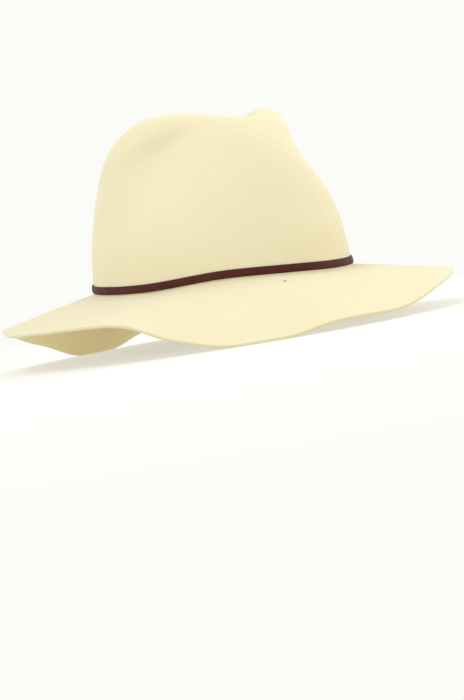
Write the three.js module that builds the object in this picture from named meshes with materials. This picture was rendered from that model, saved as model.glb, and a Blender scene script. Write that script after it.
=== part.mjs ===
// A wide-brimmed wool-felt fedora with a teardrop top, two front pinches and a soft wavy brim,
// resting on a flat surface by the three lowest waves of its brim.
// Millimetres, +Z up. The front of the hat is -Y and the wearer's left is +X.
// Every angle is in degrees, seen from above, from the front towards the wearer's left.

import * as THREE from 'three';
import { MathUtils } from 'three';

// The felt and the head opening. The break line is where the crown turns into the brim.
const FELT_THICKNESS = 2;
const HEAD = { halfWidth: 82.5, halfLength: 100 };
const BREAK_RADIUS = 2.6;

// The crown before it is dented: a rounded block whose top falls a little towards the back.
// The dents reach full depth at the edge of the top, from this share of the way out.
const CROWN = { height: 112.3, squareness: 3.95, fallToBack: 0.015, edgeShare: 0.62 };

// How much narrower the crown is at its top than at the break line, all round the hat.
const CROWN_TAPER = [
  { angle: 0, taper: 0.127 },
  { angle: 60, taper: 0.219 },
  { angle: 110, taper: 0.137 },
  { angle: 180, taper: 0.116 },
  { angle: 250, taper: 0.14 },
  { angle: 300, taper: 0.18 },
];

// How far the upper edge of the crown rises or falls from that block, all round the hat.
const CROWN_RIM = [
  { angle: -150, rise: -5 },
  { angle: -110, rise: 3.1 },
  { angle: -70, rise: 3.7 },
  { angle: -30, rise: 1.3 },
  { angle: 5, rise: 0.1 },
  { angle: 38, rise: 4.6 },
  { angle: 68, rise: 1.9 },
  { angle: 100, rise: 0.5 },
  { angle: 140, rise: -0.5 },
];

// The wall of the crown swells a little over the band.
const SWELL = { depth: 1.3, height: 26, spread: 13 };

// The teardrop hollow in the top of the crown: a broad round end at the back, a narrow one in front.
const TEARDROP = {
  depth: 23,
  back: { end: 70, full: 34, halfWidth: 28, aside: 12 },
  front: { end: -66, full: -16, halfWidth: 15, aside: 8 },
  fadeToWall: 4,
};

// The dents made by pinching the front of the crown, each a groove that rises towards the front
// and spreads along the groove, above it and below it.
const PINCHES = [
  {
    angle: -50,
    height: 91,
    climbPerDegree: 0.32,
    depth: 16,
    spreadAlong: 25,
    spreadAbove: 11,
    spreadBelow: 24,
  },
  {
    angle: 57,
    height: 77,
    climbPerDegree: -0.31,
    depth: 14.8,
    spreadAlong: 23.6,
    spreadAbove: 14,
    spreadBelow: 14,
  },
];

// The brim: its width along the felt, how its slope grows towards the edge, and how much of the
// shortening seen from above its waves keep. Then how far its edge hangs below the break line.
const BRIM = { width: 66.6, curl: 1.17, shortening: 0.6 };
const BRIM_WAVES = [
  { angle: -167, drop: 49.7 },
  { angle: -150, drop: 33.5 },
  { angle: -122, drop: 16.4 },
  { angle: -98, drop: 16.4 },
  { angle: -80, drop: 14.4 },
  { angle: -54, drop: 12.4 },
  { angle: -44, drop: 15.6 },
  { angle: -35, drop: 26.3 },
  { angle: -24, drop: 35 },
  { angle: -16, drop: 38.1 },
  { angle: -3, drop: 27.3 },
  { angle: 13, drop: 24.2 },
  { angle: 27, drop: 14.9 },
  { angle: 42, drop: 10 },
  { angle: 64, drop: 10.3 },
  { angle: 86, drop: 15.5 },
  { angle: 103, drop: 29 },
  { angle: 124, drop: 44.5 },
  { angle: 146, drop: 28 },
  { angle: 164, drop: 24.9 },
  { angle: 178, drop: 36.8 },
];

// The break line rises a little where the brim bends down most in front.
const BREAK_LINE_WAVES = [
  { angle: -150, lift: 1 },
  { angle: -62, lift: -1 },
  { angle: -24, lift: 2.8 },
  { angle: 20, lift: 0.1 },
  { angle: 100, lift: 1 },
];

// How the hat stands: it leans a little on its three lowest waves, and the felt lies flat there.
const STANDING = {
  leanForward: 2.54,
  leanLeft: 1.42,
  breakLineHeight: 38,
  flattening: 1,
};

// The leather tape round the foot of the crown, and the small flat knot on the wearer's left,
// whose ends narrow to a share of its height.
const BAND = { height: 5.2, thickness: 1.4, lift: 2.8, gap: 0.3, rounding: 0.5 };
const KNOT = { from: 76, to: 90, height: 8.8, thickness: 2.2, gap: 0.35, lift: 2.4, rounding: 0.7 };
const KNOT_ENDS = { share: 0.62, fullness: 0.5 };

// How finely the felt and its trim are divided. The rows of the crown stop just above the break line,
// and those of the brim are closest at its edge.
const FACETS = { round: 80, crown: 19, brim: 12, corner: 2, band: 96, knot: 6 };
const CROWN_FOOT = 0.015;
const BRIM_ROW_SPACING = 0.5;

const felt = new THREE.MeshStandardMaterial({ color: 0xeee0bd, roughness: 0.95, metalness: 0 });
const leather = new THREE.MeshStandardMaterial({ color: 0x53241e, roughness: 0.7, metalness: 0 });

/** The value at an angle of a column in a table that goes once round the hat, smoothly joined. */
function roundTheHat(table, column, angle) {
  const count = table.length;
  const first = table[0].angle;
  const turned = first + MathUtils.euclideanModulo(angle - first, 360);
  let index = count - 1;
  while (table[index].angle > turned) index -= 1;
  const row = (step) => {
    const place = index + step;
    const wrapped = table[MathUtils.euclideanModulo(place, count)];
    return { angle: wrapped.angle + 360 * Math.floor(place / count), value: wrapped[column] };
  };
  const [before, start, end, after] = [row(-1), row(0), row(1), row(2)];
  const span = end.angle - start.angle;
  const t = (turned - start.angle) / span;
  const slopeIn = ((end.value - before.value) / (end.angle - before.angle)) * span;
  const slopeOut = ((after.value - start.value) / (after.angle - start.angle)) * span;
  const cubic = (2 * t - 3) * t * t + 1;
  return (
    cubic * start.value
    + (t - 1) ** 2 * t * slopeIn
    + (1 - cubic) * end.value
    + (t - 1) * t * t * slopeOut
  );
}

/** The unit vector that points away from the middle of the hat at an angle. */
function outwards(angle) {
  const radians = MathUtils.degToRad(angle);
  return new THREE.Vector3(Math.sin(radians), -Math.cos(radians), 0);
}

/** The middle of the felt's thickness at the break line, without its waves. */
function breakLinePoint(angle) {
  const halfWidth = HEAD.halfWidth + FELT_THICKNESS / 2;
  const halfLength = HEAD.halfLength + FELT_THICKNESS / 2;
  const direction = outwards(angle);
  const reach = 1 / Math.hypot(direction.x / halfWidth, direction.y / halfLength);
  return direction.multiplyScalar(reach);
}

/** The level unit vector square to the break line, pointing away from the crown. */
function squareToBreakLine(angle) {
  const point = breakLinePoint(angle);
  const halfWidth = HEAD.halfWidth + FELT_THICKNESS / 2;
  const halfLength = HEAD.halfLength + FELT_THICKNESS / 2;
  return new THREE.Vector3(point.x / halfWidth ** 2, point.y / halfLength ** 2, 0).normalize();
}

/** A bell curve that is 1 at zero and fades with distance. */
function bell(distance, spread) {
  return Math.exp(-0.5 * (distance / spread) ** 2);
}

/** How deep the teardrop hollow is at a place on the top of the crown. */
function teardropDepth(x, y) {
  const { depth, back, front } = TEARDROP;
  const along = MathUtils.smoothstep(y, front.end, front.full)
    * (1 - MathUtils.smoothstep(y, back.full, back.end));
  const towardsBack = MathUtils.smoothstep(y, front.full, back.full);
  const halfWidth = MathUtils.lerp(front.halfWidth, back.halfWidth, towardsBack);
  const middle = MathUtils.lerp(front.aside, back.aside, towardsBack);
  return depth * along * Math.exp(-(((x - middle) / halfWidth) ** 2));
}

/** How far the wall of the crown is pressed in by the pinches at an angle and a height. */
function pinchedIn(angle, height) {
  let depth = 0;
  for (const pinch of PINCHES) {
    const aside = MathUtils.euclideanModulo(angle - pinch.angle + 180, 360) - 180;
    const above = height - (pinch.height + pinch.climbPerDegree * aside);
    const spread = above > 0 ? pinch.spreadAbove : pinch.spreadBelow;
    depth += pinch.depth * bell(aside, pinch.spreadAlong) * bell(above, spread);
  }
  return depth;
}

/** The middle of the felt on the crown: rise is 0 at the break line and 1 at the middle of the top. */
function crownPoint(angle, rise) {
  const turn = (rise * Math.PI) / 2;
  const power = CROWN.squareness;
  const size = (Math.cos(turn) ** power + Math.sin(turn) ** power) ** (1 / power);
  const climb = Math.sin(turn) / size;
  const spread = Math.cos(turn) / size;
  const atEdge = MathUtils.smoothstep(spread, 0, CROWN.edgeShare);
  const taper = roundTheHat(CROWN_TAPER, 'taper', angle);
  const point = breakLinePoint(angle).multiplyScalar(spread * (1 - taper * climb));
  const rim = roundTheHat(CROWN_RIM, 'rise', angle) * atEdge;
  const lift = roundTheHat(BREAK_LINE_WAVES, 'lift', angle);
  point.z = climb * (CROWN.height - CROWN.fallToBack * point.y + rim) + lift * (1 - climb);
  const swell = SWELL.depth * bell(point.z - SWELL.height, SWELL.spread);
  point.addScaledVector(outwards(angle), swell - pinchedIn(angle, point.z) * atEdge);
  point.z -= teardropDepth(point.x, point.y) * climb ** TEARDROP.fadeToWall;
  return point;
}

/** The middle of the felt on the brim: reach is 0 at the break line and 1 at the edge. */
function brimPoint(angle, reach) {
  const drop = roundTheHat(BRIM_WAVES, 'drop', angle);
  const straight = Math.sqrt(BRIM.width ** 2 - drop ** 2);
  const run = MathUtils.lerp(BRIM.width, straight, BRIM.shortening);
  const point = breakLinePoint(angle);
  point.addScaledVector(squareToBreakLine(angle), run * reach);
  point.z = roundTheHat(BREAK_LINE_WAVES, 'lift', angle) - drop * reach ** BRIM.curl;
  return point;
}

/** The felt's middle surface along one line from the top of the crown to the edge of the brim. */
function feltLine(angle) {
  const brimStart = BREAK_RADIUS / BRIM.width;
  const points = [];
  for (let step = 0; step <= FACETS.crown; step += 1) {
    points.push(crownPoint(angle, MathUtils.lerp(1, CROWN_FOOT, step / FACETS.crown)));
  }
  const corner = new THREE.QuadraticBezierCurve3(
    crownPoint(angle, CROWN_FOOT),
    brimPoint(angle, 0),
    brimPoint(angle, brimStart),
  );
  points.push(...corner.getPoints(FACETS.corner).slice(1));
  for (let step = 1; step <= FACETS.brim; step += 1) {
    const share = (step / FACETS.brim) ** BRIM_ROW_SPACING;
    points.push(brimPoint(angle, MathUtils.lerp(brimStart, 1, share)));
  }
  return points;
}

/** The placing of the hat on the surface that it rests on. */
function standingMatrix() {
  const lean = new THREE.Euler(
    MathUtils.degToRad(STANDING.leanForward),
    MathUtils.degToRad(STANDING.leanLeft),
    0,
  );
  return new THREE.Matrix4()
    .makeRotationFromEuler(lean)
    .setPosition(0, 0, STANDING.breakLineHeight);
}

/** The height of the felt's middle once it lies on the surface: soft near it and flat on it. */
function flattened(height) {
  const above = height - FELT_THICKNESS / 2;
  const soft = STANDING.flattening;
  if (above >= soft) return height;
  const pressed = above <= -soft ? 0 : (above + soft) ** 2 / (4 * soft);
  return FELT_THICKNESS / 2 + pressed;
}

/** The felt's middle surface, standing: one line of points for each step round the hat. */
function feltSheet() {
  const standing = standingMatrix();
  const lines = [];
  for (let step = 0; step < FACETS.round; step += 1) {
    const line = feltLine((360 * step) / FACETS.round);
    for (const point of line) {
      point.applyMatrix4(standing);
      point.z = flattened(point.z);
    }
    lines.push(line);
  }
  return lines;
}

/** The unit vectors that point out of the hat from each point of the felt's middle surface. */
function sheetNormals(lines) {
  const count = lines.length;
  const last = lines[0].length - 1;
  return lines.map((line, around) => line.map((point, along) => {
    const liesFlat = point.z <= FELT_THICKNESS / 2;
    if (along === 0 || liesFlat) return new THREE.Vector3(0, 0, 1);
    const before = lines[(around + count - 1) % count][along];
    const after = lines[(around + 1) % count][along];
    const across = line[Math.min(along + 1, last)].clone().sub(line[along - 1]);
    return across.cross(after.clone().sub(before)).normalize();
  }));
}

/** A closed hollow solid of even thickness round a sheet of lines that meet at their first point. */
function shellGeometry(lines, thickness) {
  const normals = sheetNormals(lines);
  const count = lines.length;
  const length = lines[0].length;
  const vertices = [];
  const triangles = [];
  for (const side of [1, -1]) {
    const offset = (around, along) => lines[around][along].clone()
      .addScaledVector(normals[around][along], (side * thickness) / 2);
    vertices.push(...offset(0, 0).toArray());
    for (let around = 0; around < count; around += 1) {
      for (let along = 1; along < length; along += 1) {
        vertices.push(...offset(around, along).toArray());
      }
    }
  }
  const perSide = 1 + count * (length - 1);
  const place = (side, around, along) => (
    side * perSide + (along === 0 ? 0 : 1 + (around % count) * (length - 1) + along - 1)
  );
  for (let around = 0; around < count; around += 1) {
    for (const side of [0, 1]) {
      const next = side === 0 ? around + 1 : around;
      const here = side === 0 ? around : around + 1;
      triangles.push(place(side, 0, 0), place(side, here, 1), place(side, next, 1));
      for (let along = 1; along < length - 1; along += 1) {
        const a = place(side, here, along);
        const b = place(side, here, along + 1);
        const c = place(side, next, along + 1);
        const d = place(side, next, along);
        triangles.push(a, b, c, a, c, d);
      }
    }
    const top = place(0, around, length - 1);
    const topNext = place(0, around + 1, length - 1);
    const under = place(1, around, length - 1);
    const underNext = place(1, around + 1, length - 1);
    triangles.push(top, under, underNext, top, underNext, topNext);
  }
  return solidGeometry(vertices, triangles);
}

/** A geometry from vertex numbers and triangle corners. */
function solidGeometry(vertices, triangles) {
  const geometry = new THREE.BufferGeometry();
  geometry.setAttribute('position', new THREE.Float32BufferAttribute(vertices, 3));
  geometry.setIndex(triangles);
  geometry.computeVertexNormals();
  return geometry;
}

/** The outside of the crown at an angle and a height above the break line. */
function crownFace(angle, height) {
  const rise = (2 / Math.PI) * Math.atan(height / CROWN.height);
  const lift = roundTheHat(BREAK_LINE_WAVES, 'lift', angle);
  const point = crownPoint(angle, rise);
  point.z = height + lift;
  return point.addScaledVector(squareToBreakLine(angle), FELT_THICKNESS / 2);
}

/** The corners of a strap's section against the crown: a flat strip with rounded outer edges. */
function strapSection(angle, strap, standOff) {
  const outside = squareToBreakLine(angle);
  const at = (height, depth) => crownFace(angle, height).addScaledVector(outside, depth);
  const low = strap.lift;
  const high = strap.lift + strap.height;
  const near = standOff;
  const far = standOff + strap.thickness;
  return [
    at(low, near),
    at(low, far - strap.rounding),
    at(low + strap.rounding, far),
    at(high - strap.rounding, far),
    at(high, far - strap.rounding),
    at(high, near),
  ];
}

/** A solid swept through sections, in a closed loop or with both ends closed. */
function sweptGeometry(sections, closed) {
  const corners = sections[0].length;
  const vertices = sections.flat().flatMap((point) => point.toArray());
  const triangles = [];
  const spans = closed ? sections.length : sections.length - 1;
  for (let span = 0; span < spans; span += 1) {
    const here = span * corners;
    const next = ((span + 1) % sections.length) * corners;
    for (let corner = 0; corner < corners; corner += 1) {
      const other = (corner + 1) % corners;
      triangles.push(here + corner, next + corner, next + other);
      triangles.push(here + corner, next + other, here + other);
    }
  }
  if (!closed) {
    const end = (sections.length - 1) * corners;
    for (let corner = 1; corner < corners - 1; corner += 1) {
      triangles.push(0, corner, corner + 1);
      triangles.push(end, end + corner + 1, end + corner);
    }
  }
  return solidGeometry(vertices, triangles);
}

function makeFeltBody() {
  const mesh = new THREE.Mesh(shellGeometry(feltSheet(), FELT_THICKNESS), felt);
  mesh.name = 'felt_body';
  return mesh;
}

function makeHatBand() {
  const sections = [];
  for (let step = 0; step < FACETS.band; step += 1) {
    sections.push(strapSection((360 * step) / FACETS.band, BAND, BAND.gap));
  }
  const mesh = new THREE.Mesh(sweptGeometry(sections, true), leather);
  mesh.name = 'hat_band';
  return mesh;
}

function makeBandKnot() {
  const standOff = BAND.gap + BAND.thickness + KNOT.gap;
  const sections = [];
  for (let step = 0; step <= FACETS.knot; step += 1) {
    const share = step / FACETS.knot;
    const fullness = Math.sin(Math.PI * share) ** KNOT_ENDS.fullness;
    const height = KNOT.height * MathUtils.lerp(KNOT_ENDS.share, 1, fullness);
    const strap = { ...KNOT, height, lift: KNOT.lift + (KNOT.height - height) / 2 };
    sections.push(strapSection(MathUtils.lerp(KNOT.from, KNOT.to, share), strap, standOff));
  }
  const mesh = new THREE.Mesh(sweptGeometry(sections, false), leather);
  mesh.name = 'band_knot';
  return mesh;
}

/** The band and its knot, set down with the crown that they go round. */
function makeTrim() {
  const trim = new THREE.Group();
  trim.add(makeHatBand(), makeBandKnot());
  trim.applyMatrix4(standingMatrix());
  return trim;
}

const fedora = new THREE.Group();
fedora.name = 'fedora';
fedora.add(makeFeltBody(), makeTrim());

export default fedora;
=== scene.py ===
"""A cream wool-felt fedora with a narrow dark leather band, resting on its soft wavy brim.

Sizes are in millimetres in the tables and dataclasses below and become metres when a mesh is made.
Angles are in degrees, seen from above, from the front of the hat towards the wearer's left.
The front is -Y and the wearer's left is +X.
"""

import logging
import math
from dataclasses import dataclass, field
from enum import Enum
from typing import NamedTuple

import bpy
import numpy as np
from mathutils import Matrix, Vector, noise

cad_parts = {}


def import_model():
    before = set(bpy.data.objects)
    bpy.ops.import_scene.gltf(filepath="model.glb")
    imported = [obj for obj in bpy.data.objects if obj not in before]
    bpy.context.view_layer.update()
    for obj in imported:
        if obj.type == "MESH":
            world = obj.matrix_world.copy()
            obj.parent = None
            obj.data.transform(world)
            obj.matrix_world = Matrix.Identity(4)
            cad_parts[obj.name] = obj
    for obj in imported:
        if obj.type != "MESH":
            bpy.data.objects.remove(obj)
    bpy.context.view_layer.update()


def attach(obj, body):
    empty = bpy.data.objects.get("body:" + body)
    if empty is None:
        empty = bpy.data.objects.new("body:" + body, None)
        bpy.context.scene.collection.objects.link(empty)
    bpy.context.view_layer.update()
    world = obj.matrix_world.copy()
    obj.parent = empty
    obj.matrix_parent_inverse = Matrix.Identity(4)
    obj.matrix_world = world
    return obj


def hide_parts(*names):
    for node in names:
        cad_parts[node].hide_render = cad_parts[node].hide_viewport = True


MM = 0.001
BODY = "root"
LOG = logging.getLogger("fedora")

Colour = tuple[float, float, float, float]

# How far the fibres of felt and suede bend from straight, in metres, how closely they bend,
# and how each layer is turned.
FIBRE_WANDER = 0.012
FIBRE_BEND_SCALE = 160.0
FIBRE_TURNS = ((0.5, 0.2, 0.9), (1.6, 0.8, 2.2), (2.5, 1.9, 0.3))

# The share of a spot's radius that is full strength, and how fine its ragged edge is.
SPOT_CORE = 0.45
SPOT_EDGE_SCALE = 900.0


class Slot(Enum):
    """The finishes that the hat's pieces take."""

    FELT = "felt"
    LEATHER = "leather"


class Face(Enum):
    """The two sides of the felt, by the way that they look from its middle."""

    OUTSIDE = 1
    INSIDE = -1


class Turn(NamedTuple):
    """One row of a table that goes once round the hat."""

    angle: float
    value: float


@dataclass(frozen=True)
class RoundTable:
    """Values given at a few angles round the hat and joined smoothly."""

    rows: tuple[Turn, ...]

    def row(self, places: np.ndarray) -> tuple[np.ndarray, np.ndarray]:
        """Read whole rows by number, going on round the hat before the first and past the last.

        Args:
            places: Row numbers, of any shape.

        Returns:
            The angles and the values of those rows.
        """
        count = len(self.rows)
        rows = np.array(self.rows)[np.mod(places, count)]
        return rows[..., 0] + 360.0 * np.floor_divide(places, count), rows[..., 1]

    def at(self, angles: np.ndarray) -> np.ndarray:
        """Read the table between its rows.

        Args:
            angles: Angles in degrees, of any shape.

        Returns:
            The values there, in the same shape.
        """
        rows = np.array(self.rows)
        first = rows[0, 0]
        turned = first + np.mod(angles - first, 360.0)
        index = np.clip(np.searchsorted(rows[:, 0], turned, side="right") - 1, 0, len(rows) - 1)
        before, start, end, after = (self.row(index + step) for step in (-1, 0, 1, 2))
        span = end[0] - start[0]
        t = (turned - start[0]) / span
        slope_in = (end[1] - before[1]) / (end[0] - before[0]) * span
        slope_out = (after[1] - start[1]) / (after[0] - start[0]) * span
        cubic = (2 * t - 3) * t * t + 1
        return (
            cubic * start[1]
            + (t - 1) ** 2 * t * slope_in
            + (1 - cubic) * end[1]
            + (t - 1) * t * t * slope_out
        )


@dataclass(frozen=True)
class Head:
    """The head opening and the felt round it."""

    half_width: float = 82.5
    half_length: float = 100.0
    felt: float = 2.0

    def halves(self) -> np.ndarray:
        """Half the width and half the length of the middle of the felt at the break line."""
        return np.array([self.half_width, self.half_length]) + self.felt / 2

    def outwards(self, angles: np.ndarray) -> np.ndarray:
        """Level unit vectors away from the middle of the hat.

        Args:
            angles: Angles in degrees.

        Returns:
            One vector for each angle, along the last axis.
        """
        turn = np.radians(angles)
        return np.stack([np.sin(turn), -np.cos(turn), np.zeros_like(turn)], axis=-1)

    def break_line(self, angles: np.ndarray) -> np.ndarray:
        """The middle of the felt where the crown turns into the brim.

        Args:
            angles: Angles in degrees.

        Returns:
            One level point for each angle.
        """
        direction = self.outwards(angles)
        reach = 1 / np.linalg.norm(direction[..., :2] / self.halves(), axis=-1)
        return direction * reach[..., None]

    def square_out(self, angles: np.ndarray) -> np.ndarray:
        """Level unit vectors square to the break line, away from the crown.

        Args:
            angles: Angles in degrees.

        Returns:
            One vector for each angle.
        """
        vector = self.break_line(angles)
        vector[..., :2] /= self.halves() ** 2
        return vector / np.linalg.norm(vector, axis=-1, keepdims=True)


@dataclass(frozen=True)
class Pinch:
    """A dent made by pinching the front of the crown: a groove that rises towards the front."""

    angle: float
    height: float
    depth: float
    spread_along: float
    spread_above: float
    spread_below: float
    climb_per_degree: float


@dataclass(frozen=True)
class TeardropEnd:
    """One end of the hollow in the top: where it stops and is deep, its width and its place."""

    end: float
    full: float
    half_width: float
    aside: float


@dataclass(frozen=True)
class Swell:
    """The slight swelling of the crown's wall over the band."""

    depth: float
    height: float
    spread: float


def bell(distance: np.ndarray, spread: float) -> np.ndarray:
    """A curve that is 1 at zero and fades with distance.

    Args:
        distance: Distances from the middle of the curve.
        spread: The distance at which the curve is about 0.6.

    Returns:
        The curve's values.
    """
    return np.exp(-0.5 * (distance / spread) ** 2)


def smooth_step(values: np.ndarray, low: float, high: float) -> np.ndarray:
    """A smooth rise from 0 to 1.

    Args:
        values: Where to read the rise.
        low: Where it is still 0.
        high: Where it is 1.

    Returns:
        The rise at each value.
    """
    t = np.clip((values - low) / (high - low), 0.0, 1.0)
    return t * t * (3 - 2 * t)


@dataclass(frozen=True)
class Crown:
    """The rounded block of the crown with its teardrop hollow and its two pinches."""

    head: Head
    lift: RoundTable
    height: float = 112.3
    squareness: float = 3.95
    fall_to_back: float = 0.015
    edge_share: float = 0.62
    taper: RoundTable = RoundTable(
        (
            Turn(0, 0.127),
            Turn(60, 0.219),
            Turn(110, 0.137),
            Turn(180, 0.116),
            Turn(250, 0.14),
            Turn(300, 0.18),
        )
    )
    rim: RoundTable = RoundTable(
        (
            Turn(-150, -5),
            Turn(-110, 3.1),
            Turn(-70, 3.7),
            Turn(-30, 1.3),
            Turn(5, 0.1),
            Turn(38, 4.6),
            Turn(68, 1.9),
            Turn(100, 0.5),
            Turn(140, -0.5),
        )
    )
    swell: Swell = Swell(depth=1.3, height=26, spread=13)
    hollow_depth: float = 23.0
    hollow_back: TeardropEnd = TeardropEnd(end=70, full=34, half_width=28, aside=12)
    hollow_front: TeardropEnd = TeardropEnd(end=-66, full=-16, half_width=15, aside=8)
    hollow_fade: float = 4.0
    pinches: tuple[Pinch, ...] = (
        Pinch(
            angle=-50,
            height=91,
            depth=16,
            spread_along=25,
            spread_above=11,
            spread_below=24,
            climb_per_degree=0.32,
        ),
        Pinch(
            angle=57,
            height=77,
            depth=14.8,
            spread_along=23.6,
            spread_above=14,
            spread_below=14,
            climb_per_degree=-0.31,
        ),
    )

    def hollow(self, x: np.ndarray, y: np.ndarray) -> np.ndarray:
        """How deep the teardrop hollow is.

        Args:
            x: Places across the top.
            y: Places along the top.

        Returns:
            The depth at each place.
        """
        back, front = self.hollow_back, self.hollow_front
        along = smooth_step(y, front.end, front.full) * (1 - smooth_step(y, back.full, back.end))
        to_back = smooth_step(y, front.full, back.full)
        half_width = front.half_width + (back.half_width - front.half_width) * to_back
        middle = front.aside + (back.aside - front.aside) * to_back
        return self.hollow_depth * along * np.exp(-(((x - middle) / half_width) ** 2))

    def pinched_in(self, angles: np.ndarray, heights: np.ndarray) -> np.ndarray:
        """How far the pinches press the wall in.

        Args:
            angles: Angles in degrees.
            heights: Heights above the break line.

        Returns:
            The depth at each place.
        """
        depth = np.zeros_like(heights)
        for pinch in self.pinches:
            aside = np.mod(angles - pinch.angle + 180.0, 360.0) - 180.0
            above = heights - (pinch.height + pinch.climb_per_degree * aside)
            spread = np.where(above > 0, pinch.spread_above, pinch.spread_below)
            depth = depth + pinch.depth * bell(aside, pinch.spread_along) * bell(above, spread)
        return depth

    def points(self, angles: np.ndarray, rises: np.ndarray) -> np.ndarray:
        """The middle of the felt on the crown.

        Args:
            angles: Angles in degrees.
            rises: 0 at the break line and 1 at the middle of the top.

        Returns:
            One point for each pair, in the hat's own frame.
        """
        turn = rises * math.pi / 2
        power = self.squareness
        size = (np.cos(turn) ** power + np.sin(turn) ** power) ** (1 / power)
        climb, spread = np.sin(turn) / size, np.cos(turn) / size
        at_edge = smooth_step(spread, 0.0, self.edge_share)
        scale = spread * (1 - self.taper.at(angles) * climb)
        point = self.head.break_line(angles) * scale[..., None]
        top = self.height - self.fall_to_back * point[..., 1] + self.rim.at(angles) * at_edge
        point[..., 2] = climb * top + self.lift.at(angles) * (1 - climb)
        heights = point[..., 2]
        push = self.swell.depth * bell(heights - self.swell.height, self.swell.spread)
        push = push - self.pinched_in(angles, heights) * at_edge
        point = point + self.head.outwards(angles) * push[..., None]
        point[..., 2] -= self.hollow(point[..., 0], point[..., 1]) * climb**self.hollow_fade
        return point

    def outside(self, angles: np.ndarray, height: float) -> np.ndarray:
        """The outside of the crown near its foot.

        Args:
            angles: Angles in degrees.
            height: The height above the break line.

        Returns:
            One point for each angle.
        """
        rise = 2 / math.pi * math.atan(height / self.height)
        point = self.points(angles, np.full_like(angles, rise))
        point[..., 2] = height + self.lift.at(angles)
        return point + self.head.square_out(angles) * self.head.felt / 2


@dataclass(frozen=True)
class Brim:
    """The soft brim, whose edge hangs in waves below the break line."""

    head: Head
    lift: RoundTable
    width: float = 66.6
    curl: float = 1.17
    shortening: float = 0.6
    waves: RoundTable = RoundTable(
        (
            Turn(-167, 49.7),
            Turn(-150, 33.5),
            Turn(-122, 16.4),
            Turn(-98, 16.4),
            Turn(-80, 14.4),
            Turn(-54, 12.4),
            Turn(-44, 15.6),
            Turn(-35, 26.3),
            Turn(-24, 35),
            Turn(-16, 38.1),
            Turn(-3, 27.3),
            Turn(13, 24.2),
            Turn(27, 14.9),
            Turn(42, 10),
            Turn(64, 10.3),
            Turn(86, 15.5),
            Turn(103, 29),
            Turn(124, 44.5),
            Turn(146, 28),
            Turn(164, 24.9),
            Turn(178, 36.8),
        )
    )

    def points(self, angles: np.ndarray, reaches: np.ndarray) -> np.ndarray:
        """The middle of the felt on the brim.

        Args:
            angles: Angles in degrees.
            reaches: 0 at the break line and 1 at the edge.

        Returns:
            One point for each pair, in the hat's own frame.
        """
        drop = self.waves.at(angles)
        straight = np.sqrt(self.width**2 - drop**2)
        run = self.width + (straight - self.width) * self.shortening
        across = self.head.square_out(angles) * (run * reaches)[..., None]
        point = self.head.break_line(angles) + across
        point[..., 2] = self.lift.at(angles) - drop * reaches**self.curl
        return point


@dataclass(frozen=True)
class Standing:
    """How the hat leans on its three lowest waves, and how the felt lies flat there."""

    lean_forward: float = 2.54
    lean_left: float = 1.42
    break_line_height: float = 38.0
    flattening: float = 2.0

    def matrix(self) -> np.ndarray:
        """The turn from the hat's own frame to the frame that it stands in.

        Returns:
            A matrix of three rows and three columns.
        """
        forward = Matrix.Rotation(math.radians(self.lean_forward), 3, "X")
        left = Matrix.Rotation(math.radians(self.lean_left), 3, "Y")
        return np.array(forward @ left)

    def place(self, points: np.ndarray) -> np.ndarray:
        """Stand points of the hat on the floor.

        Args:
            points: Points in the hat's own frame.

        Returns:
            The same points in the standing frame.
        """
        placed = points @ self.matrix().T
        placed[..., 2] += self.break_line_height
        return placed

    def flatten(self, points: np.ndarray, thickness: float) -> np.ndarray:
        """Lay the felt flat where it would reach through the floor.

        Args:
            points: Standing points on the middle of the felt.
            thickness: The felt's thickness.

        Returns:
            The points with their heights corrected.
        """
        soft = self.flattening
        above = points[..., 2] - thickness / 2
        pressed = np.where(above <= -soft, 0.0, (above + soft) ** 2 / (4 * soft))
        flat = points.copy()
        flat[..., 2] = thickness / 2 + np.where(above >= soft, above, pressed)
        return flat


def make_mesh(name: str, points: np.ndarray, faces: list[tuple[int, ...]]) -> bpy.types.Object:
    """Make a smooth mesh object from points in millimetres.

    Args:
        name: The name of the object.
        points: One row for each vertex.
        faces: Vertex numbers of each face, outward.

    Returns:
        The new object, linked to the scene.
    """
    mesh = bpy.data.meshes.new(name)
    mesh.from_pydata((points * MM).tolist(), [], faces)
    mesh.update()
    mesh.shade_smooth()
    piece = bpy.data.objects.new(name, mesh)
    bpy.context.scene.collection.objects.link(piece)
    return piece


def add_values(piece: bpy.types.Object, name: str, values: np.ndarray) -> None:
    """Store one number for each vertex, which a material can read.

    Args:
        piece: The mesh object.
        name: The attribute's name.
        values: One number for each vertex.
    """
    attribute = piece.data.attributes.new(name, "FLOAT", "POINT")
    attribute.data.foreach_set("value", values.astype(np.float32))


def dress(piece: bpy.types.Object, material: bpy.types.Material, slot: Slot, *nodes: str) -> None:
    """Give a piece its material, hang it on the hat's body and hide the plain solids that it
    stands for.

    Args:
        piece: The mesh object.
        material: The material that covers it.
        slot: The record's material slot. Not used.
        nodes: The plain solids that the piece stands for.
    """
    piece.data.materials.clear()
    piece.data.materials.append(material)
    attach(piece, BODY)
    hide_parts(*nodes)


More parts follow.
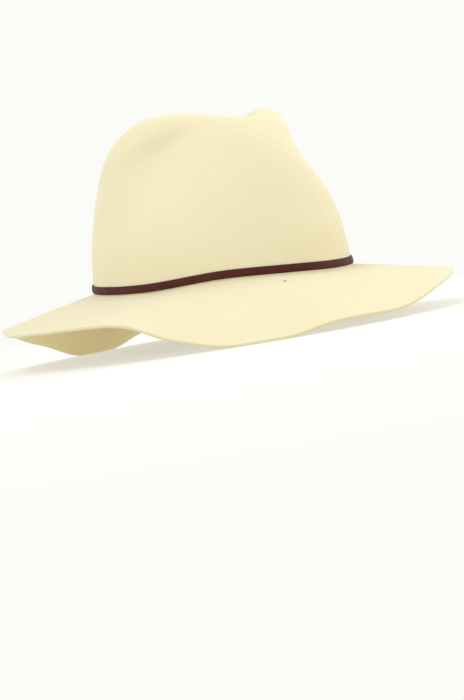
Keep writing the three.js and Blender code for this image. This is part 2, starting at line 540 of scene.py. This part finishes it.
class NodeBuilder:
    """A short way to add and join the nodes of one material or node group."""

    def __init__(self, tree: bpy.types.NodeTree) -> None:
        """Start with an empty tree.

        Args:
            tree: The node tree to fill.
        """
        self.tree = tree
        tree.nodes.clear()

    def add(self, kind: str, inputs: dict | None = None, **settings: object) -> bpy.types.Node:
        """Add a node.

        Args:
            kind: The node's type name.
            inputs: A value or another node's output for each input, by name or number.
            settings: Properties of the node.

        Returns:
            The new node.
        """
        node = self.tree.nodes.new(kind)
        for name, value in settings.items():
            setattr(node, name, value)
        for key, value in (inputs or {}).items():
            if isinstance(value, bpy.types.NodeSocket):
                self.tree.links.new(value, node.inputs[key])
            else:
                node.inputs[key].default_value = value
        return node

    def group(self, tree: bpy.types.NodeTree, inputs: dict) -> bpy.types.Node:
        """Add a shared group.

        Args:
            tree: The node group.
            inputs: A value or another node's output for each input, by name.

        Returns:
            The new node.
        """
        return self.add("ShaderNodeGroup", inputs, node_tree=tree)

    def math(self, operation: str, *values: object, clamp: bool = False) -> bpy.types.NodeSocket:
        """Add a sum of one to three values.

        Args:
            operation: The name of the operation.
            values: Numbers or outputs of other nodes.
            clamp: Whether the result is kept between 0 and 1.

        Returns:
            The output of the sum.
        """
        inputs = dict(enumerate(values))
        node = self.add("ShaderNodeMath", inputs, operation=operation, use_clamp=clamp)
        return node.outputs[0]

    def blend(self, share: object, first: object, second: object) -> bpy.types.NodeSocket:
        """Mix two colours.

        Args:
            share: 0 for the first colour and 1 for the second.
            first: A colour or an output of another node.
            second: A colour or an output of another node.

        Returns:
            The mixed colour's output.
        """
        inputs = {0: share, 6: first, 7: second}
        return self.add("ShaderNodeMix", inputs, data_type="RGBA").outputs[2]

    def value_of(self, name: str) -> bpy.types.NodeSocket:
        """Read a number that is stored on the mesh.

        Args:
            name: The attribute's name.

        Returns:
            The output that carries it.
        """
        return self.add("ShaderNodeAttribute", attribute_name=name).outputs["Fac"]


class Socket(NamedTuple):
    """One input or output of a shared node group."""

    name: str
    kind: str
    value: object = None


class SharedGroups:
    """The shader node groups that more than one finish uses, each made once."""

    def __init__(self) -> None:
        """Build every group."""
        self.mottle = self.make_mottle()
        self.fibres = self.make_fibres()
        self.spot = self.make_spot()

    def start(
        self, name: str, takes: list[Socket], gives: list[Socket]
    ) -> tuple[NodeBuilder, dict[str, bpy.types.NodeSocket], bpy.types.Node]:
        """Begin a group with its named inputs and outputs.

        Args:
            name: The group's name.
            takes: Its inputs.
            gives: Its outputs.

        Returns:
            The builder, the inputs by name and the node that takes the results.
        """
        group = bpy.data.node_groups.new(name, "ShaderNodeTree")
        for socket in takes:
            made = group.interface.new_socket(socket.name, in_out="INPUT", socket_type=socket.kind)
            made.default_value = socket.value
        for socket in gives:
            group.interface.new_socket(socket.name, in_out="OUTPUT", socket_type=socket.kind)
        build = NodeBuilder(group)
        source = build.add("NodeGroupInput")
        result = build.add("NodeGroupOutput")
        inputs = {socket.name: source.outputs[socket.name] for socket in takes}
        return build, inputs, result

    def make_mottle(self) -> bpy.types.NodeTree:
        """Make the group of soft uneven patches, which gives a mask from 0 to 1.

        Returns:
            The node group.
        """
        takes = [
            Socket("Scale", "NodeSocketFloat", 10.0),
            Socket("Detail", "NodeSocketFloat", 3.0),
            Socket("Contrast", "NodeSocketFloat", 2.0),
        ]
        build, inputs, result = self.start("mottle", takes, [Socket("Mask", "NodeSocketFloat")])
        place = build.add("ShaderNodeTexCoord").outputs["Object"]
        patches = build.add(
            "ShaderNodeTexNoise",
            {"Vector": place, "Scale": inputs["Scale"], "Detail": inputs["Detail"]},
        )
        centred = build.math("SUBTRACT", patches.outputs["Fac"], 0.5)
        spread = build.math("MULTIPLY_ADD", centred, inputs["Contrast"], 0.5, clamp=True)
        build.tree.links.new(spread, result.inputs["Mask"])
        return build.tree

    def make_fibres(self) -> bpy.types.NodeTree:
        """Make the group of short fine fibres in three directions, which gives a height.

        Returns:
            The node group.
        """
        takes = [
            Socket("Scale", "NodeSocketFloat", 900.0),
            Socket("Stretch", "NodeSocketFloat", 4.0),
        ]
        build, inputs, result = self.start("fibres", takes, [Socket("Height", "NodeSocketFloat")])
        place = build.add("ShaderNodeTexCoord").outputs["Object"]
        bend = {"Vector": place, "Scale": FIBRE_BEND_SCALE, "Detail": 2.0}
        drift = build.add("ShaderNodeTexNoise", bend)
        wander = build.add(
            "ShaderNodeVectorMath",
            {0: drift.outputs["Color"], "Scale": FIBRE_WANDER},
            operation="SCALE",
        )
        bent = build.add(
            "ShaderNodeVectorMath", {0: place, 1: wander.outputs[0]}, operation="ADD"
        )
        layers = []
        for turn in FIBRE_TURNS:
            turned = build.add(
                "ShaderNodeMapping", {"Vector": bent.outputs[0], "Rotation": turn}
            )
            parts = build.add("ShaderNodeSeparateXYZ", {0: turned.outputs[0]})
            long_way = build.math("DIVIDE", parts.outputs[0], inputs["Stretch"])
            joined = build.add(
                "ShaderNodeCombineXYZ",
                {0: long_way, 1: parts.outputs[1], 2: parts.outputs[2]},
            )
            strands = build.add(
                "ShaderNodeTexNoise",
                {"Vector": joined.outputs[0], "Scale": inputs["Scale"], "Detail": 2.0},
            )
            layers.append(strands.outputs["Fac"])
        upper = build.math("MAXIMUM", layers[0], layers[1])
        build.tree.links.new(build.math("MAXIMUM", upper, layers[2]), result.inputs["Height"])
        return build.tree

    def make_spot(self) -> bpy.types.NodeTree:
        """Make the group of a small soft-edged spot, which gives a mask from 0 to 1.

        Returns:
            The node group.
        """
        takes = [
            Socket("Centre", "NodeSocketVector", (0.0, 0.0, 0.0)),
            Socket("Radius", "NodeSocketFloat", 0.001),
            Socket("Unevenness", "NodeSocketFloat", 0.3),
        ]
        build, inputs, result = self.start("spot", takes, [Socket("Mask", "NodeSocketFloat")])
        place = build.add("ShaderNodeTexCoord").outputs["Object"]
        gap = build.add(
            "ShaderNodeVectorMath", {0: place, 1: inputs["Centre"]}, operation="DISTANCE"
        )
        ratio = build.math("DIVIDE", gap.outputs["Value"], inputs["Radius"])
        ragged_edge = {"Vector": place, "Scale": SPOT_EDGE_SCALE, "Detail": 2.0}
        rough = build.add("ShaderNodeTexNoise", ragged_edge)
        centred = build.math("SUBTRACT", rough.outputs["Fac"], 0.5)
        ragged = build.math("MULTIPLY_ADD", centred, inputs["Unevenness"], ratio)
        mask = build.add(
            "ShaderNodeMapRange",
            {
                "Value": ragged,
                "From Min": SPOT_CORE,
                "From Max": 1.0,
                "To Min": 1.0,
                "To Max": 0.0,
            },
            interpolation_type="SMOOTHSTEP",
        )
        build.tree.links.new(mask.outputs["Result"], result.inputs["Mask"])
        return build.tree


def new_material(name: str) -> tuple[bpy.types.Material, NodeBuilder]:
    """Make an empty material.

    Args:
        name: The material's name.

    Returns:
        The material and the builder of its nodes.
    """
    material = bpy.data.materials.new(name)
    material.use_nodes = True
    return material, NodeBuilder(material.node_tree)


@dataclass(frozen=True)
class Mark:
    """A small mark on the brim, placed by its angle and by its reach towards the edge."""

    angle: float
    reach: float
    radius: float
    colour: Colour
    strength: float


@dataclass(frozen=True)
class FeltFinish:
    """Cream wool felt with a short nap, slightly uneven in colour, with painted shade on its
    inside.
    """

    groups: SharedGroups
    light: Colour = (0.785, 0.71, 0.49, 1.0)
    deep: Colour = (0.745, 0.66, 0.43, 1.0)
    fleck: Colour = (0.65, 0.555, 0.335, 1.0)
    cut: Colour = (0.73, 0.655, 0.41, 1.0)
    # Painted shade and warm bounced light for the felt's inside: a deeper, yellower colour.
    underside_painted_shade: Colour = (0.80, 0.68, 0.34, 1.0)
    roughness: float = 0.93
    sheen: float = 0.4
    sheen_roughness: float = 0.42
    sheen_tint: Colour = (1.0, 0.99, 0.95, 1.0)
    specular: float = 0.12
    patch_scale: float = 14.0
    patch_contrast: float = 2.4
    patch_share: float = 0.45
    grain_scale: float = 420.0
    grain_contrast: float = 3.0
    grain_share: float = 0.1
    grain_relief: float = 0.5
    nap_scale: float = 1500.0
    nap_stretch: float = 6.0
    nap_slope: float = -0.4
    nap_shade: float = 0.28
    # How far the inside is blended towards its painted shade.
    painted_shade_share: float = 0.7
    bump_strength: float = 0.4
    bump_depth: float = 0.00018

    def material(self, marks: list[tuple[Vector, Mark]]) -> bpy.types.Material:
        """Build the material.

        Args:
            marks: The small marks, each with its place in metres.

        Returns:
            The felt material.
        """
        material, build = new_material("wool_felt")
        mottle, fibres = self.groups.mottle, self.groups.fibres
        patch = {"Scale": self.patch_scale, "Contrast": self.patch_contrast}
        broad = build.group(mottle, patch)
        grain = {"Scale": self.grain_scale, "Contrast": self.grain_contrast}
        close = build.group(mottle, grain)
        nap = build.group(fibres, {"Scale": self.nap_scale, "Stretch": self.nap_stretch})
        height = nap.outputs["Height"]
        patches = build.math("MULTIPLY", broad.outputs["Mask"], self.patch_share)
        colour = build.blend(patches, self.light, self.deep)
        grains = build.math("MULTIPLY", close.outputs["Mask"], self.grain_share)
        colour = build.blend(grains, colour, self.fleck)
        shade = build.math("MULTIPLY_ADD", height, self.nap_slope, self.nap_shade, clamp=True)
        colour = build.blend(shade, colour, self.fleck)
        # Painted shade: the inside of the felt, under the brim and in the crown, is blended
        # towards the deeper colour.
        painted_shade = build.math("MULTIPLY", build.value_of("underside"), self.painted_shade_share)
        colour = build.blend(painted_shade, colour, self.underside_painted_shade)
        colour = build.blend(build.value_of("cut_edge"), colour, self.cut)
        for place, mark in marks:
            size = {"Centre": place, "Radius": mark.radius * MM}
            spot = build.group(self.groups.spot, size)
            share = build.math("MULTIPLY", spot.outputs["Mask"], mark.strength)
            colour = build.blend(share, colour, mark.colour)
        soft = build.math("MULTIPLY", close.outputs["Mask"], self.grain_relief)
        relief = build.math("ADD", height, soft)
        bump = build.add(
            "ShaderNodeBump",
            {"Height": relief, "Strength": self.bump_strength, "Distance": self.bump_depth},
        )
        shader = build.add(
            "ShaderNodeBsdfPrincipled",
            {
                "Base Color": colour,
                "Roughness": self.roughness,
                "Specular IOR Level": self.specular,
                "Sheen Weight": self.sheen,
                "Sheen Roughness": self.sheen_roughness,
                "Sheen Tint": self.sheen_tint,
                "Normal": bump.outputs["Normal"],
            },
        )
        build.add("ShaderNodeOutputMaterial", {"Surface": shader.outputs["BSDF"]})
        return material


@dataclass(frozen=True)
class LeatherFinish:
    """Dark red-brown leather tape with a fine grain, darker and a little worn at its edges."""

    groups: SharedGroups
    main: Colour = (0.076, 0.0145, 0.0105, 1.0)
    deep: Colour = (0.045, 0.009, 0.007, 1.0)
    worn: Colour = (0.12, 0.034, 0.022, 1.0)
    edge: Colour = (0.030, 0.012, 0.010, 1.0)
    specular: float = 0.13
    patch_scale: float = 90.0
    patch_detail: float = 4.0
    patch_contrast: float = 2.6
    patch_share: float = 0.7
    pore_scale: float = 1600.0
    pore_relief: float = 1.2
    suede_scale: float = 1100.0
    suede_stretch: float = 3.0
    rub_slope: float = 1.6
    rub_start: float = -0.75
    roughness_least: float = 0.52
    roughness_range: float = 0.18
    bump_strength: float = 0.6
    bump_depth: float = 0.00015

    def material(self) -> bpy.types.Material:
        """Build the material.

        Returns:
            The leather material.
        """
        material, build = new_material("leather_tape")
        patch = {
            "Scale": self.patch_scale,
            "Detail": self.patch_detail,
            "Contrast": self.patch_contrast,
        }
        broad = build.group(self.groups.mottle, patch)
        mask = broad.outputs["Mask"]
        pores = build.add(
            "ShaderNodeTexVoronoi",
            {
                "Vector": build.add("ShaderNodeTexCoord").outputs["Object"],
                "Scale": self.pore_scale,
                "Randomness": 1.0,
            },
            feature="DISTANCE_TO_EDGE",
        )
        fibre = {"Scale": self.suede_scale, "Stretch": self.suede_stretch}
        suede = build.group(self.groups.fibres, fibre).outputs["Height"]
        patches = build.math("MULTIPLY", mask, self.patch_share)
        colour = build.blend(patches, self.main, self.deep)
        rubbed = build.math("MULTIPLY_ADD", suede, self.rub_slope, self.rub_start, clamp=True)
        colour = build.blend(rubbed, colour, self.worn)
        colour = build.blend(build.value_of("strap_edge"), colour, self.edge)
        grain = build.math("MULTIPLY", pores.outputs["Distance"], self.pore_relief, clamp=True)
        relief = build.math("ADD", grain, suede)
        bump = build.add(
            "ShaderNodeBump",
            {"Height": relief, "Strength": self.bump_strength, "Distance": self.bump_depth},
        )
        roughness = build.math("MULTIPLY_ADD", mask, self.roughness_range, self.roughness_least)
        shader = build.add(
            "ShaderNodeBsdfPrincipled",
            {
                "Base Color": colour,
                "Roughness": roughness,
                "Specular IOR Level": self.specular,
                "Normal": bump.outputs["Normal"],
            },
        )
        build.add("ShaderNodeOutputMaterial", {"Surface": shader.outputs["BSDF"]})
        return material


@dataclass
class FeltBody:
    """The crown and the brim in one shell of felt."""

    crown: Crown
    brim: Brim
    standing: Standing
    break_radius: float = 2.6
    crown_foot: float = 0.015
    unevenness: float = 0.35
    broad_wave: float = 34.0
    fine_wave: float = 11.0
    fine_share: float = 0.35
    edge_rounding: float = 0.5
    row_spacing: float = 0.85
    steps_round: int = 288
    steps_crown: int = 92
    steps_corner: int = 8
    steps_brim: int = 58
    steps_edge: int = 4
    marks: tuple[Mark, ...] = (
        Mark(angle=-5.2, reach=0.15, radius=1.4, colour=(0.10, 0.08, 0.03, 1.0), strength=0.9),
        Mark(angle=-62.0, reach=0.35, radius=3.0, colour=(0.70, 0.63, 0.45, 1.0), strength=0.25),
    )

    def sheet(self) -> np.ndarray:
        """The middle of the felt, as lines from the top of the crown to the edge of the brim.

        Returns:
            One line of points for each angle.
        """
        angles = np.arange(self.steps_round) * 360.0 / self.steps_round
        rises = np.linspace(1.0, self.crown_foot, self.steps_crown + 1)
        start = self.break_radius / self.brim.width
        crown = self.crown.points(*np.meshgrid(angles, rises, indexing="ij"))
        shares = np.arange(1, self.steps_brim + 1) / self.steps_brim
        edge_shares = shares**self.row_spacing
        reaches = start + (1 - start) * edge_shares
        brim = self.brim.points(*np.meshgrid(angles, reaches, indexing="ij"))
        foot = crown[:, -1:]
        bend = self.brim.points(angles, np.zeros_like(angles))[:, None]
        first = self.brim.points(angles, np.full_like(angles, start))[:, None]
        t = (np.arange(1, self.steps_corner + 1) / self.steps_corner)[None, :, None]
        corner = (1 - t) ** 2 * foot + 2 * t * (1 - t) * bend + t**2 * first
        return np.concatenate([crown, corner, brim], axis=1)

    def soften(self, sheet: np.ndarray, normals: np.ndarray) -> np.ndarray:
        """Add the slight unevenness that hand-shaped felt has.

        Args:
            sheet: The middle of the felt.
            normals: The directions out of the felt at the same points.

        Returns:
            The sheet with small soft rises and falls.
        """
        rough = np.empty(sheet.shape[:2])
        for place in np.ndindex(*rough.shape):
            spot = Vector(sheet[place])
            broad, fine = noise.noise(spot / self.broad_wave), noise.noise(spot / self.fine_wave)
            rough[place] = broad + self.fine_share * fine
        rough[:, 0] = rough[0, 0]
        return sheet + normals * (rough * self.unevenness)[..., None]

    def normals(self, sheet: np.ndarray) -> np.ndarray:
        """The unit vectors that point out of the hat at each point of the sheet.

        Args:
            sheet: The middle of the felt.

        Returns:
            One vector for each point.
        """
        around = np.roll(sheet, -1, axis=0) - np.roll(sheet, 1, axis=0)
        along = np.gradient(sheet, axis=1)
        normal = np.cross(along, around)
        normal[:, 0] = (0.0, 0.0, 1.0)
        return normal / np.linalg.norm(normal, axis=-1, keepdims=True)

    def faces(self, rows: int) -> list[tuple[int, ...]]:
        """The faces of the closed shell.

        Args:
            rows: How many rings lie between the two top points.

        Returns:
            The vertex numbers of each face.
        """
        count = self.steps_round
        last = 1 + rows * count
        faces: list[tuple[int, ...]] = []
        for around in range(count):
            after = (around + 1) % count
            faces.append((0, 1 + around, 1 + after))
            for row in range(rows - 1):
                here = 1 + row * count
                below = here + count
                faces.append((here + around, below + around, below + after, here + after))
            end = 1 + (rows - 1) * count
            faces.append((end + around, last, end + after))
        return faces

    def build(self, material: bpy.types.Material) -> bpy.types.Object:
        """Build and dress the felt.

        Args:
            material: The felt material.

        Returns:
            The finished piece.
        """
        sheet = self.sheet()
        sheet = self.soften(sheet, self.normals(sheet))
        thickness = self.crown.head.felt
        sheet = self.standing.flatten(self.standing.place(sheet), thickness)
        normals = self.normals(sheet)
        resting = sheet[..., 2] <= thickness / 2
        normals[resting] = (0.0, 0.0, 1.0)
        outside = sheet + normals * Face.OUTSIDE.value * thickness / 2
        inside = sheet + normals * Face.INSIDE.value * thickness / 2
        outwards = sheet[:, -1] - sheet[:, -2]
        outwards /= np.linalg.norm(outwards, axis=-1, keepdims=True)
        edge = []
        for step in range(1, self.steps_edge):
            turn = math.pi * step / self.steps_edge
            rise = normals[:, -1] * math.cos(turn) * thickness / 2
            edge.append(sheet[:, -1] + rise + outwards * math.sin(turn) * self.edge_rounding)
        rings = [outside[:, row] for row in range(1, sheet.shape[1])]
        rings += edge
        rings += [inside[:, row] for row in range(sheet.shape[1] - 1, 0, -1)]
        points = np.concatenate([outside[:1, 0], *rings, inside[:1, 0]])
        piece = make_mesh("felt_hat", points, self.faces(len(rings)))
        first_edge = sheet.shape[1] - 1
        first_under = first_edge + len(edge)
        rows = np.arange(len(rings))
        cut_edge = (rows >= first_edge) & (rows < first_under)
        self.mark_rows(piece, "cut_edge", cut_edge)
        # The inside rings, which the felt material darkens with painted shade.
        self.mark_rows(piece, "underside", rows >= first_under)
        dress(piece, material, Slot.FELT, "felt_body")
        return piece

    def mark_rows(self, piece: bpy.types.Object, name: str, rows: np.ndarray) -> None:
        """Store on the felt which of its rings a material treats in its own way.

        Args:
            piece: The felt.
            name: The attribute's name.
            rows: Whether each ring is one of them.
        """
        values = np.concatenate([[0.0], np.repeat(rows, self.steps_round), [rows[-1]]])
        add_values(piece, name, values)

    def mark_places(self) -> list[tuple[Vector, Mark]]:
        """Find where the marks lie on the brim.

        Returns:
            Each mark with its place in metres.
        """
        places = []
        for mark in self.marks:
            flat = self.brim.points(np.array([mark.angle]), np.array([mark.reach]))
            place = self.standing.place(flat)[0] + (0.0, 0.0, self.crown.head.felt / 2)
            places.append((Vector(place) * MM, mark))
        return places


@dataclass
class Strap:
    """A flat leather strap against the foot of the crown, with rounded edges and a low dome."""

    crown: Crown
    standing: Standing
    height: float
    thickness: float
    lift: float
    gap: float
    dome: float = 0.25
    rounding: float = 0.5
    face_steps: int = 10
    corner_steps: int = 3
    edge_reach: float = 0.75

    def outline(self, height: float) -> list[tuple[float, float]]:
        """The strap's section.

        Args:
            height: The strap's height at this place.

        Returns:
            Heights above the strap's lower edge, each with its distance from the strap's back.
        """
        points = [(0.0, 0.0)]
        radius = min(self.rounding, height / 3)
        depth = self.thickness - self.dome
        for step in range(self.corner_steps):
            turn = math.pi / 2 * step / self.corner_steps
            points.append((radius * (1 - math.cos(turn)), depth - radius * (1 - math.sin(turn))))
        for step in range(self.face_steps + 1):
            share = step / self.face_steps
            up = radius + (height - 2 * radius) * share
            points.append((up, depth + self.dome * math.sin(math.pi * share)))
        for step in range(self.corner_steps - 1, -1, -1):
            turn = math.pi / 2 * step / self.corner_steps
            up = height - radius * (1 - math.cos(turn))
            points.append((up, depth - radius * (1 - math.sin(turn))))
        points.append((height, 0.0))
        return points

    def edge_mask(self, outline: list[tuple[float, float]], height: float) -> list[float]:
        """How near each point of the section is to the strap's upper or lower edge.

        Args:
            outline: The strap's section.
            height: The strap's height there.

        Returns:
            1 at an edge and 0 away from it, for each point.
        """
        return [max(0.0, 1 - min(up, height - up) / self.edge_reach) for up, _ in outline]

    def section(self, angle: float, height: float, lift: float) -> np.ndarray:
        """The strap's section at one place round the crown.

        Args:
            angle: The angle in degrees.
            height: The strap's height there.
            lift: The height of its lower edge above the break line.

        Returns:
            One point for each corner, in the hat's own frame.
        """
        angles = np.array([angle])
        outside = self.crown.head.square_out(angles)[0]
        points = []
        for up, out in self.outline(height):
            face = self.crown.outside(angles, lift + up)[0]
            points.append(face + outside * (self.gap + out))
        return np.array(points)

    def faces(self, sections: int, corners: int, closed: bool) -> list[tuple[int, ...]]:
        """Join the strap's sections, one after the other.

        Args:
            sections: How many sections there are.
            corners: How many corners each section has.
            closed: Whether the last section joins the first. Otherwise both ends are capped.

        Returns:
            The vertex numbers of each face.
        """
        faces: list[tuple[int, ...]] = []
        for section in range(sections if closed else sections - 1):
            here = section * corners
            after = (section + 1) % sections * corners
            for corner in range(corners):
                other = (corner + 1) % corners
                faces.append((here + corner, after + corner, after + other, here + other))
        if not closed:
            last = (sections - 1) * corners
            faces.append(tuple(range(corners)))
            faces.append(tuple(range(last + corners - 1, last - 1, -1)))
        return faces


@dataclass
class HatBand(Strap):
    """The narrow tape that goes all the way round the crown."""

    height: float = 5.2
    thickness: float = 1.1
    lift: float = 2.8
    gap: float = 0.05
    steps: int = 300
    ripple: float = 0.12
    ripple_waves: int = 5
    ripple_turn: float = 1.0
    fine_waves: int = 11
    fine_share: float = 0.5

    def wander(self, turn: float) -> float:
        """How far the tape runs off its line.

        Args:
            turn: The place round the crown, in radians.

        Returns:
            The height above the line.
        """
        broad = math.sin(self.ripple_waves * turn + self.ripple_turn)
        return self.ripple * (broad + self.fine_share * math.sin(self.fine_waves * turn))

    def build(self, material: bpy.types.Material) -> bpy.types.Object:
        """Build and dress the band.

        Args:
            material: The leather material.

        Returns:
            The finished piece.
        """
        sections = []
        for step in range(self.steps):
            angle = 360.0 * step / self.steps
            lift = self.lift + self.wander(math.radians(angle))
            sections.append(self.section(angle, self.height, lift))
        faces = self.faces(len(sections), len(sections[0]), closed=True)
        points = self.standing.place(np.concatenate(sections))
        piece = make_mesh("leather_band", points, faces)
        mask = self.edge_mask(self.outline(self.height), self.height)
        add_values(piece, "strap_edge", np.tile(mask, self.steps))
        dress(piece, material, Slot.LEATHER, "hat_band")
        return piece


@dataclass
class BandKnot(Strap):
    """The small flat knot of the tape, on the wearer's left."""

    height: float = 9.2
    thickness: float = 2.2
    lift: float = 2.3
    gap: float = 2.05
    dome: float = 0.7
    start: float = 73.0
    end: float = 88.5
    steps: int = 40
    end_share: float = 0.62
    waist: float = 0.16
    waist_spread: float = 0.07
    crease: float = 0.175
    crease_spread: float = 0.05

    def build(self, material: bpy.types.Material) -> bpy.types.Object:
        """Build and dress the knot.

        Args:
            material: The leather material.

        Returns:
            The finished piece.
        """
        sections, masks = [], []
        for step in range(self.steps + 1):
            share = step / self.steps
            full = math.sqrt(math.sin(math.pi * share))
            slim = self.end_share + (1 - self.end_share) * full
            middle = np.array(share - 0.5)
            pulled = 1 - self.waist * float(bell(middle, self.waist_spread))
            height = self.height * slim * pulled
            lift = self.lift + (self.height - height) / 2
            angle = self.start + (self.end - self.start) * share
            section = self.section(angle, height, lift)
            fold = self.crease * float(bell(middle, self.crease_spread))
            outside = self.crown.head.square_out(np.array([angle]))[0]
            sections.append(section - outside * fold)
            masks.append(self.edge_mask(self.outline(height), height))
        faces = self.faces(len(sections), len(sections[0]), closed=False)
        points = self.standing.place(np.concatenate(sections))
        piece = make_mesh("leather_knot", points, faces)
        add_values(piece, "strap_edge", np.concatenate(masks))
        dress(piece, material, Slot.LEATHER, "band_knot")
        return piece


@dataclass
class View:
    """The camera, low in front of the hat and turned a little about its own line of sight."""

    azimuth: float = -25.92
    elevation: float = 0.338
    roll: float = 9.383
    distance: float = 1200.0
    lens: float = 90.84
    band_middle: tuple[float, float, float] = (0.12, -0.22, 42.99)
    aim: tuple[float, float, float] = (-1.02, 0.0, -8.78)
    sensor_width: float = 36.0
    nearest: float = 0.02
    farthest: float = 60.0

    def build(self) -> bpy.types.Object:
        """Make the camera and set it as the scene's.

        Returns:
            The camera.
        """
        turn, tilt = math.radians(self.azimuth), math.radians(self.elevation)
        level = math.cos(tilt)
        back = Vector((math.sin(turn) * level, -math.cos(turn) * level, math.sin(tilt)))
        place = Vector(self.band_middle) + back * self.distance
        forward = (Vector(self.aim) - place).normalized()
        level_right = forward.cross(Vector((0.0, 0.0, 1.0))).normalized()
        level_up = level_right.cross(forward)
        roll = math.radians(self.roll)
        right = level_right * math.cos(roll) - level_up * math.sin(roll)
        up = level_right * math.sin(roll) + level_up * math.cos(roll)
        data = bpy.data.cameras.new("view")
        data.lens = self.lens
        data.sensor_width = self.sensor_width
        data.clip_start, data.clip_end = self.nearest, self.farthest
        camera = bpy.data.objects.new("view", data)
        bpy.context.scene.collection.objects.link(camera)
        turned = Matrix((right, up, -forward)).transposed().to_4x4()
        camera.matrix_world = Matrix.Translation(place * MM) @ turned
        bpy.context.scene.camera = camera
        return camera


class Lamp(NamedTuple):
    """One soft lamp: its name, place and size in metres, power in watts and colour."""

    name: str
    place: tuple[float, float, float]
    size: float
    power: float
    colour: tuple[float, float, float]


@dataclass
class Studio:
    """A pale floor that fades into pale air, with soft light from all round."""

    air: tuple[float, float, float] = (0.985, 0.985, 0.955)
    floor: tuple[float, float, float] = (0.90, 0.89, 0.855)
    floor_radius: float = 12.0
    floor_sides: int = 96
    floor_roughness: float = 0.9
    glow_start: float = 0.2
    glow_full: float = 0.9
    glow_least: float = 0.5
    air_strength: float = 0.98
    lamps: tuple[Lamp, ...] = (
        Lamp(name="key", place=(-1.2, -0.7, 2.4), size=1.0, power=20.0, colour=(0.92, 1.0, 1.0)),
        Lamp(name="side", place=(2.0, -0.3, 1.1), size=1.4, power=14.0, colour=(1.0, 0.96, 0.95)),
    )

    def build(self) -> None:
        """Make the floor, the air and the lamps."""
        self.build_floor()
        self.build_air()
        for lamp in self.lamps:
            data = bpy.data.lights.new(lamp.name, "AREA")
            data.size = lamp.size
            data.energy = lamp.power
            data.color = lamp.colour
            light = bpy.data.objects.new(lamp.name, data)
            light.location = lamp.place
            light.rotation_euler = (-Vector(lamp.place)).to_track_quat("-Z", "Y").to_euler()
            bpy.context.scene.collection.objects.link(light)
        bpy.context.scene.view_settings.view_transform = "Standard"

    def build_air(self) -> None:
        """Fill the world with plain pale light."""
        world = bpy.data.worlds.new("air")
        world.use_nodes = True
        build = NodeBuilder(world.node_tree)
        background = build.add(
            "ShaderNodeBackground", {"Color": (*self.air, 1.0), "Strength": self.air_strength}
        )
        build.add("ShaderNodeOutputWorld", {"Surface": background.outputs[0]})
        bpy.context.scene.world = world

    def build_floor(self) -> None:
        """Make the floor, which glows a little by the hat and like the air far from it."""
        sides = self.floor_sides
        turns = [2 * math.pi * side / sides for side in range(sides)]
        rim = [(math.cos(turn), math.sin(turn), 0.0) for turn in turns]
        points = np.array(rim) * self.floor_radius / MM
        piece = make_mesh("floor", points, [tuple(range(sides))])
        material, build = new_material("pale_floor")
        place = build.add("ShaderNodeTexCoord").outputs["Object"]
        away = build.add("ShaderNodeVectorMath", {0: place}, operation="LENGTH")
        far = build.add(
            "ShaderNodeMapRange",
            {
                "Value": away.outputs["Value"],
                "From Min": self.glow_start,
                "From Max": self.glow_full,
                "To Min": self.glow_least,
            },
            interpolation_type="SMOOTHSTEP",
        )
        near = build.add(
            "ShaderNodeBsdfPrincipled",
            {"Base Color": (*self.floor, 1.0), "Roughness": self.floor_roughness},
        )
        glow = build.add(
            "ShaderNodeEmission", {"Color": (*self.air, 1.0), "Strength": self.air_strength}
        )
        blend = build.add(
            "ShaderNodeMixShader",
            {0: far.outputs["Result"], 1: near.outputs["BSDF"], 2: glow.outputs[0]},
        )
        build.add("ShaderNodeOutputMaterial", {"Surface": blend.outputs[0]})
        piece.data.materials.append(material)


@dataclass
class Fedora:
    """The whole hat, made of its felt, its band and the band's knot."""

    head: Head = field(default_factory=Head)
    lift: RoundTable = RoundTable(
        (Turn(-150, 1), Turn(-62, -1), Turn(-24, 2.8), Turn(20, 0.1), Turn(100, 1))
    )
    standing: Standing = field(default_factory=Standing)

    def build(self) -> list[bpy.types.Object]:
        """Build every piece of the hat.

        Returns:
            The finished pieces.
        """
        groups = SharedGroups()
        crown = Crown(self.head, self.lift)
        brim = Brim(self.head, self.lift)
        felt = FeltBody(crown, brim, self.standing)
        leather = LeatherFinish(groups).material()
        return [
            felt.build(FeltFinish(groups).material(felt.mark_places())),
            HatBand(crown, self.standing).build(leather),
            BandKnot(crown, self.standing).build(leather),
        ]


def main() -> None:
    """Build the hat and its studio round the fixed frame."""
    logging.basicConfig(level=logging.INFO, format="%(name)s: %(message)s")
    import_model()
    View().build()
    for piece in Fedora().build():
        LOG.info("%s has %d faces", piece.name, len(piece.data.polygons))
    Studio().build()
    bpy.context.view_layer.update()
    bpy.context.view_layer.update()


if __name__ == "__main__":
    main()
